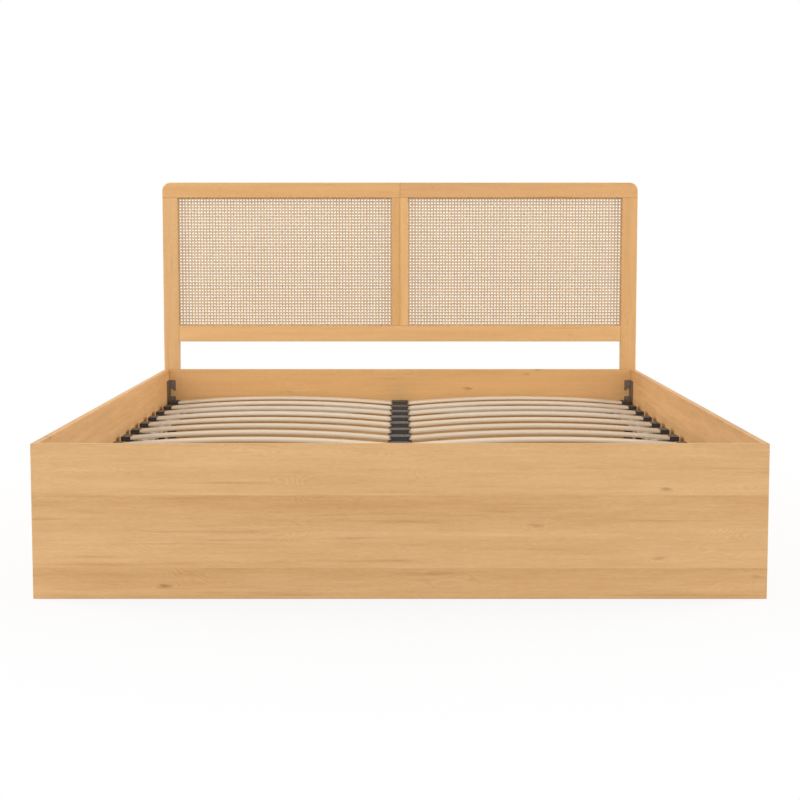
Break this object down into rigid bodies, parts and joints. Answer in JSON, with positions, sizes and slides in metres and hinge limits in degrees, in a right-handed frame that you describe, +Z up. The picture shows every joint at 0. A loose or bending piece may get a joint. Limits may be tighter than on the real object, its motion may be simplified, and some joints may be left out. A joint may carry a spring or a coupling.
{
  "type": "ottoman bed",
  "caption": "King-size bed with oak-effect panels, a cane headboard and a sprung-slat platform that lifts on gas struts over a storage box.",
  "frame": {"origin": "middle of the bed on the floor, at the bottom centre of its bounding box", "axes": "+X to the right seen from the foot, +Y from the foot to the head, +Z up"},
  "size_m": [1.55, 2.075, 0.94],
  "materials": {
    "oak": "oak-effect foil, satin",
    "pine": "planed softwood",
    "beech": "lacquered beech laminate",
    "floor_board": "smooth hardboard",
    "cane": "woven natural cane",
    "black_plastic": "moulded, fine grain",
    "black_steel": "powder coat",
    "grey_steel": "warm grey powder coat",
    "bronze_steel": "bronze lacquer",
    "bright_steel": "zinc plate",
    "rubber": "matt"
  },
  "bodies": {
    "base": {"bottom_rail": "oak", "cane_beads_left": "pine", "cane_beads_right": "pine", "cane_panel_left": "cane", "cane_panel_right": "cane", "centre_stile_left": "oak", "centre_stile_right": "oak", "floor_bearers": "pine", "floor_board_foot": "floor_board", "floor_board_head": "floor_board", "floor_board_middle": "floor_board", "foot_brackets": "bronze_steel", "foot_panel": "oak", "foot_rest": "pine", "head_panel": "oak", "headboard_dowels": "pine", "hook_bolts": "bright_steel", "hook_bracket_left": "bronze_steel", "hook_bracket_right": "bronze_steel", "left_post": "oak", "lift_nuts": "bright_steel", "lift_pins": "bright_steel", "lift_plate_left": "black_steel", "lift_plate_right": "black_steel", "rest_pads": "rubber", "right_post": "oak", "side_panel_left": "oak", "side_panel_right": "oak", "side_rests": "pine", "top_rail_left": "oak", "top_rail_right": "oak"},
    "platform": {"centre_holders": "black_plastic", "centre_tube": "grey_steel", "foot_cross_tube": "grey_steel", "head_cross_tube": "grey_steel", "middle_tubes": "grey_steel", "side_tube_left": "grey_steel", "side_tube_right": "grey_steel", "slat_caps_left": "black_plastic", "slat_caps_right": "black_plastic", "slat_row_01": "beech", "slat_row_02": "beech", "slat_row_03": "beech", "slat_row_04": "beech", "slat_row_05": "beech", "slat_row_06": "beech", "slat_row_07": "beech", "slat_row_08": "beech", "slat_row_09": "beech", "slat_row_10": "beech", "slat_row_11": "beech", "slat_row_12": "beech", "tube_plugs": "black_plastic", "upper_bolts": "bright_steel"},
    "cylinder_left": {"strut_cylinder_left": "black_steel"},
    "cylinder_right": {"strut_cylinder_right": "black_steel"},
    "rod_left": {"strut_rod_left": "bright_steel"},
    "rod_right": {"strut_rod_right": "bright_steel"}
  },
  "joints": [
    {"name": "platform_lift", "type": "hinge", "parent": "base", "child": "platform", "pos_m": [0, 0.8075, 0.203], "axis": [-1, 0, 0], "range_deg": [0, 40]},
    {"name": "cylinder_swing_left", "type": "hinge", "parent": "base", "child": "cylinder_left", "pos_m": [-0.7455, 0.76597, 0.048], "axis": [-1, 0, 0], "range_deg": [0, 20]},
    {"name": "rod_swing_left", "type": "hinge", "parent": "platform", "child": "rod_left", "pos_m": [-0.7455, 0.64703, 0.203], "axis": [-1, 0, 0], "range_deg": [-20, 0]},
    {"name": "cylinder_swing_right", "type": "hinge", "parent": "base", "child": "cylinder_right", "pos_m": [0.7455, 0.76597, 0.048], "axis": [-1, 0, 0], "range_deg": [0, 20]},
    {"name": "rod_swing_right", "type": "hinge", "parent": "platform", "child": "rod_right", "pos_m": [0.7455, 0.64703, 0.203], "axis": [-1, 0, 0], "range_deg": [-20, 0]}
  ],
  "couplings": [
    {"joint": "cylinder_swing_left", "follows": "platform_lift", "ratio": 0.5},
    {"joint": "rod_swing_left", "follows": "platform_lift", "ratio": -0.5},
    {"joint": "cylinder_swing_right", "follows": "platform_lift", "ratio": 0.5},
    {"joint": "rod_swing_right", "follows": "platform_lift", "ratio": -0.5}
  ]
}
